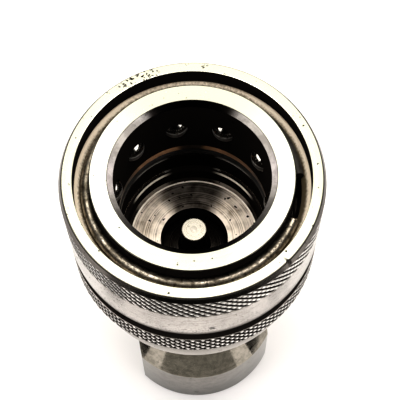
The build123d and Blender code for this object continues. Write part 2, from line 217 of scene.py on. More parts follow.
class Shader:
    """A new material with its Principled shader, and short calls to add and join nodes."""

    def __init__(self, name):
        self.material = bpy.data.materials.new(name)
        self.material.use_nodes = True
        self.nodes = self.material.node_tree.nodes
        self.links = self.material.node_tree.links
        self.surface = self.nodes["Principled BSDF"]

    def add(self, kind, settings=None, **inputs):
        """New node. An input is named by its label, or by i and its number."""
        new = self.nodes.new(kind)
        for key, value in (settings or {}).items():
            setattr(new, key, value)
        for key, value in inputs.items():
            numbered = key[0] == "i" and key[1:].isdigit()
            socket = new.inputs[int(key[1:]) if numbered else key]
            if isinstance(value, bpy.types.NodeSocket):
                self.links.new(value, socket)
            else:
                socket.default_value = value
        return new

    def math(self, operation, a, b=0.0):
        return self.add("ShaderNodeMath", {"operation": operation}, i0=a, i1=b).outputs[0]

    def times(self, a, b):
        return self.math("MULTIPLY", a, b)

    def vector(self, operation, a, **more):
        return self.add("ShaderNodeVectorMath", {"operation": operation}, i0=a, **more).outputs

    def spread(self, value, low, high, to_low=0.0, to_high=1.0):
        """Value from low..high to to_low..to_high, smooth and clamped."""
        new = self.add("ShaderNodeMapRange", {"interpolation_type": "SMOOTHSTEP"}, i0=value)
        for i, number in enumerate((low, high, to_low, to_high), start=1):
            new.inputs[i].default_value = number
        return new.outputs[0]

    def noise(self, vector, scale, detail=3.0, rough=0.55):
        settings = {"Vector": vector, "Scale": scale, "Detail": detail, "Roughness": rough}
        return self.add("ShaderNodeTexNoise", None, **settings).outputs["Fac"]

    def mix(self, share, a, b):
        new = self.add("ShaderNodeMix", {"data_type": "RGBA"})
        for socket, value in ((new.inputs[0], share), (new.inputs[6], a), (new.inputs[7], b)):
            if isinstance(value, bpy.types.NodeSocket):
                self.links.new(value, socket)
            else:
                socket.default_value = value
        return new.outputs[2]

    def join(self, output, name):
        self.links.new(output, self.surface.inputs[name])

    def bump(self, height, strength, distance):
        """Roughens the surface by a height, with the distance in millimetres."""
        settings = {"Height": height, "Strength": strength, "Distance": distance * MM}
        self.join(self.add("ShaderNodeBump", None, **settings).outputs[0], "Normal")

    def zone(self, inner_r, outer_r, low, high):
        """1 between two radii and two heights in millimetres, and 0 elsewhere."""
        _, radius, height = self.place()
        share = self.math("GREATER_THAN", radius, inner_r * MM)
        share = self.times(share, self.math("LESS_THAN", radius, outer_r * MM))
        share = self.times(share, self.math("GREATER_THAN", height, low * MM))
        return self.times(share, self.math("LESS_THAN", height, high * MM))

    def towards_back(self, position, radius):
        """1 on the far side of the axis in the photo's view, 0 at its sides and -1 on the near side.

        The direction is the camera's azimuth as a constant in object space, so that painted shade,
        highlights and reflections made with it stay on the object when the view changes.
        """
        back = tuple(-around(0, 0, 1.0).xy.normalized()) + (0.0,)
        along = self.vector("DOT_PRODUCT", position, i1=back)["Value"]
        return self.math("DIVIDE", along, radius)

    def cover(self, share, colour):
        """Lays a colour over the present one."""
        present = self.surface.inputs["Base Color"].links[0].from_socket
        self.join(self.mix(share, present, colour), "Base Color")

    def roughen(self, share, rough):
        """Moves the roughness towards rough."""
        present = self.surface.inputs["Roughness"].links[0].from_socket
        step = self.times(self.math("SUBTRACT", rough, present), share)
        self.join(self.math("ADD", present, step), "Roughness")

    def dull(self, share):
        """Takes the metal's mirror away where share is 1."""
        metallic = self.surface.inputs["Metallic"]
        present = metallic.links[0].from_socket if metallic.is_linked else metallic.default_value
        self.join(self.times(present, self.math("SUBTRACT", 1.0, share)), "Metallic")

    def grime_and_shade(self, share, rough=0.6):
        """Lays a dark, dull coat over the metal: real grime in some places, painted shade and painted dark
        reflections in others.
        """
        self.cover(share, OIL_AND_SHADE)
        self.roughen(share, rough)
        self.dull(share)

    def place(self):
        """Object coordinates, the distance from the Z axis, and the height."""
        position = self.add("ShaderNodeTexCoord").outputs["Object"]
        split = self.add("ShaderNodeSeparateXYZ", None, Vector=position)
        flat = self.add("ShaderNodeCombineXYZ", None, X=split.outputs["X"], Y=split.outputs["Y"])
        return position, self.vector("LENGTH", flat.outputs[0])["Value"], split.outputs["Z"]


def rgb(r, g, b):
    return (r, g, b, 1.0)


# Near-black for oil, pits and specks, and also for painted shade and painted dark reflections.
OIL_AND_SHADE = rgb(0.009, 0.007, 0.006)


def turned_steel(
    name, light, dark, rough=(0.2, 0.35), rings=2500.0, ring_depth=0.002, specks=0.5, stain=0.5
):
    """Turned and plated steel: fine tool rings about Z, a mottled film, pits and faint stains."""
    s = Shader(name)
    position, radius, height = s.place()
    section = s.add("ShaderNodeCombineXYZ", None, X=radius, Y=height).outputs[0]
    tool = s.noise(section, rings, 2.0, 0.6)
    coarse = s.noise(section, rings * 0.16, 3.0, 0.6)
    film = s.noise(position, 90.0, 4.0, 0.6)
    grain = s.noise(position, 2200.0, 2.0, 0.6)
    pits = s.spread(s.noise(position, 1500.0, 1.0, 0.5), 0.70, 0.76)
    big_pits = s.spread(s.noise(position, 420.0, 2.0, 0.5), 0.70, 0.74)
    marks = s.times(s.math("MAXIMUM", pits, big_pits), specks)
    colour = s.mix(s.spread(film, 0.35, 0.72, 0.0, stain), light, dark)
    colour = s.mix(s.spread(grain, 0.3, 0.75, 0.0, 0.18), colour, dark)
    s.join(s.mix(marks, colour, OIL_AND_SHADE), "Base Color")
    s.surface.inputs["Metallic"].default_value = 1.0
    s.surface.inputs["Specular IOR Level"].default_value = 0.0
    blend = s.math("ADD", s.times(tool, 0.5), s.times(film, 0.5))
    gloss = s.spread(blend, 0.3, 0.7, *rough)
    s.join(s.math("MAXIMUM", gloss, s.times(marks, 0.6)), "Roughness")
    relief = s.math("ADD", s.times(tool, 0.5), s.times(coarse, 0.5))
    relief = s.math("SUBTRACT", relief, s.times(marks, 0.8))
    relief = s.math("ADD", relief, s.times(grain, 0.25))
    s.bump(relief, 0.5, ring_depth)
    return s


def body_steel():
    """Front body: painted near-black shade inside, a coarse turned floor, a pale face and a dark waist.

    Its dark films and bright edges on one side are painted shade, painted highlights and painted
    reflections.
    """
    s = turned_steel(
        "body_steel", rgb(0.80, 0.765, 0.71), rgb(0.52, 0.48, 0.43), rough=(0.12, 0.24), stain=0.35
    )
    s.surface.inputs["Anisotropic"].default_value = 0.5
    tangent = s.add("ShaderNodeTangent", {"direction_type": "RADIAL", "axis": "Z"})
    s.join(tangent.outputs[0], "Tangent")
    position, radius, _ = s.place()
    behind = s.towards_back(position, radius)
    # Arcs on each side of the back, where highlights are painted.
    lit = s.times(s.spread(behind, 0.45, 0.65), s.spread(behind, 0.88, 0.96, 1.0, 0.0))
    patch = s.noise(position, 260.0, 3.0, 0.6)
    shade_bore(s)
    finish_floor(s, position, radius, patch, behind, lit)
    finish_ledges(s, behind, lit)
    finish_mouth(s, position, patch, behind)
    # Painted near-black shade on the body's outer wall below its face, in the gap inside the sleeve.
    s.grime_and_shade(s.times(s.zone(BODY_R - 0.5, BODY_R + 0.1, BODY_TOP - 9, BODY_TOP - 0.2), 0.98))
    outline_face(s)
    waist = s.zone(BORE_R + 0.6, BODY_R + 1, BODY_BOTTOM - 1, BODY_TOP - 10)
    s.cover(s.times(waist, 0.6), rgb(0.16, 0.148, 0.13))
    return s


def shade_bore(s):
    """Painted near-black shade on the body's bore, between the edges that stay bright, and on all that lies
    below its floor.
    """
    for low, high in (
        (CAVITY_FLOOR + 0.7, NOSE_TIP - 0.3),
        (NOSE_TIP + 0.02, SEAL_GROOVE_LOW - 0.12),
        (SEAL_GROOVE_LOW + 0.04, BODY_TOP - 0.9),
    ):
        s.grime_and_shade(s.times(s.zone(0, BORE_R + 3, low, high), 0.99))
    s.grime_and_shade(s.times(s.zone(0, BORE_R + 0.5, BODY_BOTTOM + 0.05, CAVITY_FLOOR - 0.15), 0.985))


def finish_floor(s, position, radius, patch, behind, lit):
    """Cavity floor: coarse tool rings and pits, a painted dark wedge at the back, a painted bright ring and
    painted shade in the corner round it.
    """
    floor_low = CAVITY_FLOOR - 0.15
    floor = s.zone(THROAT_R - 0.1, BORE_R, floor_low, CAVITY_FLOOR + 0.7)
    across = s.add("ShaderNodeCombineXYZ", None, X=radius).outputs[0]
    groove = s.math("ADD", s.times(s.noise(across, 2600.0, 4.0, 0.7), 0.65), s.times(patch, 0.35))
    s.cover(floor, s.mix(s.spread(groove, 0.44, 0.62), rgb(1.0, 0.9, 0.79), rgb(0.36, 0.29, 0.22)))
    pits = s.spread(s.noise(position, 900.0, 1.0, 0.5), 0.68, 0.72)
    s.cover(s.times(floor, pits), OIL_AND_SHADE)
    # Painted shade: a streaked dark wedge at the back of the floor.
    inside = s.spread(radius, (CAVITY_R - 1.0) * MM, (CAVITY_R - 0.7) * MM, 1.0, 0.0)
    back_wedge_shade = s.times(s.spread(behind, 0.72, 0.93), inside)
    streaks = s.spread(groove, 0.35, 0.65, 0.8, 1.0)
    s.cover(s.times(s.times(floor, back_wedge_shade), streaks), OIL_AND_SHADE)
    s.roughen(floor, 0.5)
    s.dull(s.times(floor, 0.5))
    # Painted highlight: a bright ring near the floor's edge.
    rim_highlight = s.zone(CAVITY_R - 0.9, CAVITY_R - 0.65, floor_low, CAVITY_FLOOR + 0.2)
    s.cover(rim_highlight, rgb(1.0, 0.93, 0.82))
    # Painted shade in the corner outside the ring, lighter at the lit arcs.
    rim = s.zone(CAVITY_R - 0.58, BORE_R, floor_low, CAVITY_FLOOR + 0.75)
    s.cover(s.times(rim, s.math("SUBTRACT", 0.95, s.times(lit, 0.5))), OIL_AND_SHADE)


def finish_ledges(s, behind, lit):
    """Step above the cavity, with painted shade at the back between two painted bright arcs, and painted
    shade on the edge above it.
    """
    ledges = s.zone(0, BORE_R + 0.5, NOSE_TIP - 0.35, SEAL_GROOVE_LOW + 0.1)
    # Painted shade on the ledges at the very back.
    s.grime_and_shade(s.times(ledges, s.spread(behind, 0.90, 0.96, 0.0, 0.99)))
    step = s.zone(CAVITY_R - 0.05, CAVITY_R + 0.3, NOSE_TIP - 1.0, NOSE_TIP - 0.55)
    # Painted highlight arcs on the step.
    s.cover(s.times(step, lit), rgb(0.95, 0.88, 0.76))
    upper_edge = s.zone(BORE_R - 0.3, BORE_R + 0.5, SEAL_GROOVE_LOW - 0.2, SEAL_GROOVE_LOW + 0.1)
    # Painted shade on the edge above the seal groove, darker away from the back.
    s.grime_and_shade(s.times(upper_edge, s.spread(behind, 0.55, 0.75, 0.97, 0.6)))


def finish_mouth(s, position, patch, behind):
    """Pale, pitted front face, painted darker at the front and the back, and the mouth's chamfer with
    painted dark reflections at the front and the back.
    """
    face = s.zone(BORE_R + MOUTH_CHAMFER, BODY_R, BODY_TOP - 0.05, BODY_TOP + 0.1)
    # Painted shade: the face is darker at the front and the back than at its sides.
    side = s.spread(s.math("ABSOLUTE", behind), 0.3, 0.95)
    s.cover(face, s.mix(side, rgb(0.64, 0.63, 0.59), rgb(0.52, 0.51, 0.445)))
    s.cover(s.times(face, s.spread(s.noise(position, 900.0, 2.0, 0.6), 0.69, 0.72)), OIL_AND_SHADE)
    mouth = s.zone(BORE_R - 0.05, BORE_R + MOUTH_CHAMFER - 0.05, BODY_TOP - 0.95, BODY_TOP - 0.02)
    s.cover(mouth, s.mix(s.spread(patch, 0.4, 0.6), rgb(0.50, 0.475, 0.46), rgb(0.34, 0.32, 0.31)))
    # Painted shade on the chamfer, growing from the sides towards the back.
    s.cover(s.times(mouth, s.spread(behind, 0.05, 0.35, 0.0, 0.55)), OIL_AND_SHADE)
    # Painted dark reflections on the chamfer at the far and the near side.
    far_dark_reflection = s.spread(behind, 0.78, 0.89, 0, 0.95)
    near_dark_reflection = s.spread(behind, -0.75, -0.1, 0.9, 0.0)
    s.cover(s.times(mouth, s.math("MAXIMUM", far_dark_reflection, near_dark_reflection)), OIL_AND_SHADE)


def outline_face(s):
    """Thin dark line along both edges of the front face."""
    mouth_edge = BORE_R + MOUTH_CHAMFER
    for inner_r, outer_r in ((mouth_edge - 0.08, mouth_edge + 0.06), (BODY_R - 0.22, BODY_R + 0.01)):
        s.cover(s.times(s.zone(inner_r, outer_r, BODY_TOP - 0.2, BODY_TOP + 0.1), 0.85), OIL_AND_SHADE)


def sleeve_steel():
    """Sleeve: a pale face, a dusty ledge, knurls with painted shade in their hollows, painted shade and
    dark reflections on its inner wall, chamfer and sides, and a specked band.
    """
    s = turned_steel(
        "sleeve_steel", rgb(0.53, 0.495, 0.46), rgb(0.35, 0.32, 0.295), rough=(0.12, 0.26),
        rings=1800.0, specks=0.7, stain=0.55
    )
    position, radius, height = s.place()
    behind = s.towards_back(position, radius)
    finish_sleeve_end(s, position, radius, behind)
    finish_sleeve_side(s, behind)
    finish_bands(s, position, height)
    pit_face(s, position)
    return s


def finish_sleeve_end(s, position, radius, behind):
    """Sleeve's face with its pits and an outline of painted shade, painted near-black shade on the wall
    inside it, a painted dark reflection on its chamfer, and the ledge with dust, random grime and painted
    shade.
    """
    # Painted near-black shade on the wall inside the face.
    inner_wall = s.zone(BODY_R + 1.4, SLEEVE_WALL_R + 0.05, SLEEVE_TOP - 8.0, SLEEVE_TOP - 0.12)
    s.grime_and_shade(s.times(inner_wall, 0.97))
    face = s.zone(BODY_R + 3, SLEEVE_R, SLEEVE_TOP - 0.1, SLEEVE_TOP + 0.1)
    s.cover(face, rgb(0.54, 0.53, 0.46))
    s.cover(s.times(face, s.spread(s.noise(position, 1000.0, 2.0, 0.6), 0.69, 0.72)), OIL_AND_SHADE)
    # Painted dark reflection on the face's outer chamfer.
    chamfer = s.zone(SLEEVE_R - 0.8, SLEEVE_R + 1, SLEEVE_TOP - 1.4, SLEEVE_TOP - 0.1)
    s.cover(s.times(chamfer, 0.68), OIL_AND_SHADE)
    ledge = s.zone(BODY_R + 1.45, SLEEVE_WALL_R + 0.05, SLEEVE_TOP - 6.2, SLEEVE_TOP - 3.85)
    # Ledge: beige dust with random grime, and painted shade near the body and at the back.
    near_body = s.spread(radius, (BODY_R + 1.9) * MM, (SLEEVE_WALL_R - 0.2) * MM, 0.55, 0.0)
    grime = s.times(s.noise(position, 1900.0, 3.0, 0.7), 0.55)
    grime = s.math("ADD", grime, near_body)
    grime = s.math("ADD", grime, s.spread(behind, 0.70, 0.95, 0.0, 0.2))
    s.cover(ledge, s.mix(s.spread(grime, 0.3, 0.75), rgb(0.95, 0.84, 0.69), rgb(0.13, 0.105, 0.07)))
    # Painted shade along the face's outer edge, lighter at the back.
    outline = s.zone(SLEEVE_R - 0.86, SLEEVE_R - 0.5, SLEEVE_TOP - 0.12, SLEEVE_TOP + 0.1)
    s.cover(s.times(outline, s.spread(behind, 0.55, 0.85, 0.85, 0.15)), OIL_AND_SHADE)
    s.roughen(ledge, 0.6)


def finish_sleeve_side(s, behind):
    """Worn crests and painted shade in the hollows, which the mesh stores, and painted shade at the left
    and the right.
    """
    worn = s.add("ShaderNodeAttribute", {"attribute_name": "worn"}).outputs["Fac"]
    s.cover(s.times(worn, 0.95), rgb(0.98, 0.96, 0.93))
    # Painted shade over the sleeve's outside at its left and right.
    sides = s.times(s.spread(behind, -0.78, -0.4, 0.0, 0.42), s.spread(behind, 0.0, 0.4, 1.0, 0.0))
    outside = s.zone(SLEEVE_R - 0.6, SLEEVE_R + 1, SLEEVE_BOTTOM, SLEEVE_TOP - 0.4)
    s.cover(s.times(outside, sides), OIL_AND_SHADE)
    # Painted shade stored in the mesh.
    dirt = s.add("ShaderNodeAttribute", {"attribute_name": "dirt"}).outputs["Fac"]
    s.grime_and_shade(s.times(dirt, 0.97))


def finish_bands(s, position, height):
    """Painted shade on the slope into the groove, painted shade on the tail that grows towards the knurled
    band above it, and specks and smears between the knurls.
    """
    # Painted shade down the slope into the groove.
    slope = s.zone(SLEEVE_R - 2, SLEEVE_R + 1, SLEEVE_TOP - 22.6, SLEEVE_TOP - 17.0)
    slope_shade = s.spread(height, (SLEEVE_TOP - 19.9) * MM, (SLEEVE_TOP - 17.3) * MM, 0.97, 0.0)
    s.grime_and_shade(s.times(slope, slope_shade))
    # Painted shade over the tail, darkest towards the knurled band above.
    tail = s.zone(SLEEVE_R - 2.5, SLEEVE_R + 1, SLEEVE_BOTTOM - 0.1, SLEEVE_TOP - 29.9)
    film = s.spread(height, (SLEEVE_BOTTOM + 0.3) * MM, (SLEEVE_BOTTOM + 3.5) * MM, 0.3, 0.68)
    s.cover(s.times(tail, film), rgb(0.085, 0.08, 0.06))
    band = s.zone(SLEEVE_R - 0.6, SLEEVE_R + 1, SLEEVE_TOP - 18.4, SLEEVE_TOP - 8.9)
    low_band = s.spread(height, (SLEEVE_TOP - 17.8) * MM, (SLEEVE_TOP - 13.5) * MM, 1.0, 0.35)
    specks = s.spread(s.noise(position, 2300.0, 2.0, 0.7), 0.54, 0.61)
    s.cover(s.times(s.times(specks, low_band), s.times(band, 0.75)), OIL_AND_SHADE)
    flat = s.vector("MULTIPLY", position, i1=(1.0, 1.0, 5.0))[0]
    smear = s.spread(s.noise(flat, 520.0, 4.0, 0.7), 0.48, 0.68)
    s.cover(s.times(s.times(smear, band), 0.45), rgb(0.10, 0.09, 0.075))


# Pitted spots on the sleeve's face: turn about Z in degrees, reach in millimetres, and how dark.
SPOTS = (
    (114, 1.7, 0.8),
    (109, 2.4, 1.0),
    (103, 2.2, 1.0),
    (98, 1.6, 1.0),
    (73, 1.0, 0.9),
    (-96, 0.5, 1.0),
)
SPOTS_R = 25.0


def pit_face(s, position):
    """Patches of pits on the sleeve's face."""
    for turn, reach, share in SPOTS:
        a = math.radians(turn)
        spot = (SPOTS_R * math.cos(a) * MM, SPOTS_R * math.sin(a) * MM, SLEEVE_TOP * MM)
        away = s.vector("DISTANCE", position, i1=spot)["Value"]
        near = s.spread(away, reach * 0.4 * MM, reach * MM, share, 0)
        pits = s.spread(s.noise(position, 1800.0, 2.0, 0.6), 0.55, 0.58)
        s.grime_and_shade(s.times(near, pits))


def poppet_steel():
    """Poppet: its nose is faced clean, with a lighter mark at its centre, and the rest is painted
    near-black as shade.
    """
    s = turned_steel(
        "poppet_steel", rgb(0.46, 0.43, 0.385), rgb(0.26, 0.235, 0.20), rough=(0.2, 0.34),
        rings=3600.0, ring_depth=0.006
    )
    # Painted shade: all of the poppet below its nose.
    s.cover(s.times(s.zone(0, 11.0, 0, NOSE_TIP - 0.22), 0.95), OIL_AND_SHADE)
    mark = s.zone(0, 1.3, NOSE_TIP - 2.5, NOSE_TIP - 0.03)
    s.cover(mark, rgb(0.80, 0.76, 0.68))
    s.roughen(mark, 0.6)
    s.dull(mark)
    return s


def rubber(name, colour, oil=0.35):
    """Moulded rubber with a thin film of oil."""
    s = Shader(name)
    position, _, _ = s.place()
    film = s.noise(position, 160.0, 4.0, 0.6)
    grain = s.noise(position, 3500.0, 2.0, 0.6)
    lighter = tuple(min(1.0, c * 1.9 + 0.01) for c in colour[:3]) + (1.0,)
    s.join(s.mix(s.spread(film, 0.35, 0.7), colour, lighter), "Base Color")
    s.join(s.spread(film, 0.3, 0.7, oil, oil + 0.25), "Roughness")
    s.bump(s.math("ADD", grain, film), 0.4, 0.02)
    return s


def drawn_wire(name, light, dark, rough=(0.22, 0.4)):
    """Drawn steel wire with mottled oil and small pits."""
    s = Shader(name)
    position, _, _ = s.place()
    film = s.noise(position, 420.0, 4.0, 0.65)
    grain = s.noise(position, 2600.0, 3.0, 0.6)
    pits = s.spread(s.noise(position, 1100.0, 2.0, 0.5), 0.56, 0.66)
    colour = s.mix(s.spread(film, 0.35, 0.7), light, dark)
    s.join(s.mix(s.times(pits, 0.7), colour, rgb(0.05, 0.04, 0.03)), "Base Color")
    s.surface.inputs["Metallic"].default_value = 1.0
    s.join(s.spread(film, 0.3, 0.7, *rough), "Roughness")
    s.bump(s.math("SUBTRACT", grain, pits), 0.4, 0.02)
    return s


def adapter_steel():
    """Rear end, mottled, with painted shade that grows towards its foot and painted shade over its round
    base.
    """
    s = turned_steel(
        "adapter_steel", rgb(0.385, 0.36, 0.315), rgb(0.20, 0.18, 0.15), rough=(0.08, 0.17), rings=1500.0
    )
    position, _, height = s.place()
    # Painted shade, darker towards the foot, made uneven.
    uneven = s.spread(s.noise(position, 300.0), 0.3, 0.7, -0.15, 0.15)
    film = s.math("ADD", s.spread(height, 0, 14 * MM, 0.9, 0.0), uneven)
    s.cover(s.math("MAXIMUM", film, 0.0), rgb(0.10, 0.10, 0.08))
    mottle = s.spread(s.noise(position, 700.0, 4.0, 0.7), 0.4, 0.65, 0.0, 0.45)
    s.cover(mottle, rgb(0.10, 0.098, 0.08))
    # Painted shade over the round base.
    s.cover(s.spread(height, (BASE_TOP - 0.4) * MM, (BASE_TOP + 0.1) * MM, 0.38, 0.0), OIL_AND_SHADE)
    return s


def wire_steel():
    """Stop wire: patches of grime, more of them on its outer side, and a dark stretch at the right."""
    s = drawn_wire("wire_steel", rgb(0.40, 0.36, 0.30), rgb(0.11, 0.095, 0.07), rough=(0.3, 0.5))
    position, radius, _ = s.place()
    patches = s.spread(s.noise(position, 700.0, 4.0, 0.8), 0.5, 0.62, 0.0, 0.75)
    s.grime_and_shade(s.times(patches, s.spread(radius, 21.0 * MM, 22.4 * MM, 0.5, 1.0)))
    a = math.radians(18)
    grimy_side = (math.cos(a), math.sin(a), 0)
    along = s.vector("DOT_PRODUCT", position, i1=grimy_side)["Value"]
    s.grime_and_shade(s.spread(s.math("DIVIDE", along, radius), 0.80, 0.90, 0.0, 0.9))
    return s


def ball_steel():
    """Polished balls, clean on top, with painted shade over their lower part but for a thin bare rim at the
    very bottom.
    """
    s = drawn_wire("ball_steel", rgb(0.62, 0.61, 0.59), rgb(0.3, 0.29, 0.28), rough=(0.09, 0.16))
    facing = s.add("ShaderNodeTexCoord").outputs["Normal"]
    upward = s.add("ShaderNodeSeparateXYZ", None, Vector=facing).outputs["Z"]
    # Painted shade by facing: the lower part of each ball, but not the thin rim at the very bottom.
    shaded = s.times(s.spread(upward, 0.05, 0.35, 1.0, 0.0), s.spread(upward, -0.8, -0.74))
    s.grime_and_shade(s.times(shaded, 0.9))
    return s


def brown_backup():
    """Brown backup ring, streaked, with painted shade all round but for an arc on each side of the back."""
    s = rubber("brown_backup", rgb(0.36, 0.21, 0.12), oil=0.3)
    position, radius, height = s.place()
    behind = s.towards_back(position, radius)
    around_it = s.add("ShaderNodeCombineXYZ", None, X=behind, Y=s.times(height, 900.0))
    streak = s.noise(around_it.outputs[0], 6.0, 4.0, 0.8)
    # Painted shade all round the ring but for an arc on each side of the back.
    shaded = s.math("MAXIMUM", s.spread(behind, 0.975, 0.995), s.spread(behind, 0.45, 0.8, 1.0, 0.0))
    s.cover(s.math("MAXIMUM", s.times(shaded, 0.93), s.spread(streak, 0.5, 0.68, 0.0, 0.8)), OIL_AND_SHADE)
    return s


def make_materials():
    """One material for each of the record's slots."""
    guide_light, guide_dark = rgb(0.60, 0.59, 0.57), rgb(0.35, 0.33, 0.3)
    return {
        "body_steel": body_steel(),
        "adapter_steel": adapter_steel(),
        "sleeve_steel": sleeve_steel(),
        "wire_steel": wire_steel(),
        "spring_steel": drawn_wire("spring_steel", rgb(0.55, 0.54, 0.53), rgb(0.25, 0.24, 0.23)),
        "washer_steel": turned_steel("washer_steel", rgb(0.62, 0.61, 0.6), rgb(0.35, 0.34, 0.33)),
        "poppet_steel": poppet_steel(),
        "guide_steel": turned_steel("guide_steel", guide_light, guide_dark, rough=(0.28, 0.42)),
        "ball_steel": ball_steel(),
        "black_rubber": rubber("black_rubber", rgb(0.012, 0.012, 0.012)),
        "brown_backup": brown_backup(),
        "white_backup": rubber("white_backup", rgb(0.8, 0.79, 0.75), oil=0.45),
    }


# ---------------- sleeve

KNURL_STARTS = 80
KNURL_SAMPLES = 12
KNURL_STEP = TAU * SLEEVE_R / (KNURL_STARTS * KNURL_SAMPLES)
FALLING_WIDTH, RISING_WIDTH = 0.58, 0.38

# Each knurled band: bottom, top, run-out, and the depth of its falling and of its rising grooves.
KNURL_BANDS = (
    (SLEEVE_TOP - 8.75, SLEEVE_TOP - 1.35, 0.5, 0.5, 0.08),
    (SLEEVE_TOP - 29.8, SLEEVE_TOP - 22.9, 0.4, 0.42, 0.36),
)

NICK_AT = math.radians(-56.0)
NICK_HALF_WIDTH = 1.1
NICK_DEPTH = 0.35


def groove_share(phase, width):
    """1 along the groove, 0 on the ridge, where width is the groove's share of the pitch."""
    off = np.abs(phase - np.floor(phase) - 0.5) * 2
    return np.clip((width - off) / 0.2, 0, 1)


def band_fade(height, low, high, run_out):
    """1 inside the band, 0 outside, with a short run-out at each end."""
    return np.clip((height - low) / run_out, 0, 1) * np.clip((high - height) / run_out, 0, 1)


def knurl_cover(height):
    """1 on either knurled band, and 0 elsewhere."""
    return sum(band_fade(height, low, high, run_out) for low, high, run_out, _, _ in KNURL_BANDS)


def knurl_depth(angle, height):
    """Depth of the knurl's crossing grooves in millimetres."""
    rise = height / (KNURL_STEP * KNURL_SAMPLES)
    along = angle * KNURL_STARTS / TAU
    falling = groove_share(along + rise, FALLING_WIDTH)
    rising = groove_share(along - rise, RISING_WIDTH)
    depth = 0.0
    for low, high, run_out, falling_depth, rising_depth in KNURL_BANDS:
        crossing = np.maximum(falling * falling_depth, rising * rising_depth)
        depth = np.maximum(depth, crossing * band_fade(height, low, high, run_out))
    return depth


def nick(angle, height):
    """1 in the small nick on the edge of the sleeve's face, and 0 elsewhere."""
    off = np.degrees(np.abs((angle - NICK_AT + math.pi) % TAU - math.pi))
    return np.clip(1 - off / NICK_HALF_WIDTH, 0, 1) * np.clip((height - SLEEVE_TOP + 1.2) / 0.6, 0, 1)


def sleeve_outline():
    """Outline of the sleeve, with close rows where its two knurled bands are cut."""
    chamber_r, tail_r = SLEEVE_R - 3.45, SLEEVE_R - 2.25
    slide_r, relief_r, recess_r = BODY_R + 0.06, BODY_R + 0.3, BODY_R + 1.5
    chamber_top = SLEEVE_BOTTOM + 22.9
    relief_low, relief_high = SLEEVE_TOP - 12.4, SLEEVE_TOP - 9.9
    band_low = SLEEVE_TOP - 18.9
    groove_r = SLEEVE_R - 0.7
    shoulder = SLEEVE_TOP - 30.3
    loop = rounded([
        (chamber_r, SLEEVE_BOTTOM, 0.3),
        (chamber_r, chamber_top),
        (slide_r, chamber_top),
        (slide_r, relief_low),
        (relief_r, relief_low),
        (relief_r, relief_high),
        (recess_r, SLEEVE_TOP - 8.7),
        (recess_r, SLEEVE_TOP - 5.96, 0.3),
        (SLEEVE_WALL_R, SLEEVE_TOP - 4.16, 0.4),
        (SLEEVE_WALL_R, SLEEVE_TOP, 0.15),
        (SLEEVE_R - 0.65, SLEEVE_TOP, 0.22),
        (SLEEVE_R, SLEEVE_TOP - 1.4, 0.4),
        (SLEEVE_R, band_low, 5.0),
        (SLEEVE_R - 0.25, band_low - 1.1, 3.0),
        (groove_r, band_low - 1.9, 0.3),
        (groove_r, SLEEVE_TOP - 21.9, 0.3),
        (SLEEVE_R, SLEEVE_TOP - 22.7, 0.4),
        (SLEEVE_R, SLEEVE_TOP - 29.8, 0.5),
        (SLEEVE_R - 0.7, shoulder, 0.3),
        (tail_r, shoulder, 0.3),
        (tail_r, SLEEVE_BOTTOM, 0.5),
    ])

    def outside(point):
        return point[0] > SLEEVE_R - 0.8

    (upper_low, *_), (lower_low, lower_high, *_) = KNURL_BANDS
    loop = filled(loop, upper_low - 0.4, SLEEVE_TOP, KNURL_STEP, outside)
    return filled(loop, lower_low - 0.4, lower_high + 0.4, KNURL_STEP, outside)


def mark_sleeve(sleeve, loop, segments):
    """Stores in the mesh where shade is painted (knurl hollows, the nick, the shoulder under the lower band
    and the face's outer rim) and where the knurl's crests are worn.
    """
    angle, radius, height = grid(loop, segments)
    outer = radius > SLEEVE_R - 2
    depth = knurl_depth(angle, height)
    # Painted shade in the knurl's hollows and nick, under the shoulder and along the face's outer rim.
    hollows = np.where(outer, np.clip((depth - 0.04) / 0.08, 0, 1), 0)
    nicked = np.where(outer, nick(angle, height), 0)
    shoulder = 0.9 * outer * (height < SLEEVE_TOP - 30.0) * (radius > SLEEVE_R - 1.9)
    rim = 0.85 * outer * (height > SLEEVE_TOP - 0.3) * (radius > SLEEVE_R - 0.72)
    dirt = np.maximum.reduce([hollows, nicked, shoulder, rim])
    worn = np.where(outer, np.clip(1 - depth / 0.06, 0, 1) * knurl_cover(height), 0)
    for label, values in (("dirt", dirt), ("worn", worn)):
        attribute = sleeve.data.attributes.new(label, "FLOAT", "POINT")
        attribute.data.foreach_set("value", values.ravel().astype(np.float32))


def build_sleeve(materials):
    """Sleeve with its two knurled bands cut as crossing grooves, and a nick in the edge of its face."""
    def cut(angle, radius, height):
        depth = np.maximum(knurl_depth(angle, height), NICK_DEPTH * nick(angle, height))
        return radius - np.where(radius > SLEEVE_R - 0.8, depth, 0)

    loop = sleeve_outline()
    segments = KNURL_STARTS * KNURL_SAMPLES
    sleeve = lathe("sleeve_shell", loop, segments, shape=cut, smooth_angle=28)
    mark_sleeve(sleeve, loop, segments)
    dress(sleeve, materials, "sleeve_steel", "sleeve", "locking_sleeve")


# ---------------- front body

BALL_NODES = [part["node"] for part in frame["record"]["subparts"] if part["material_slot"] == "ball_steel"]


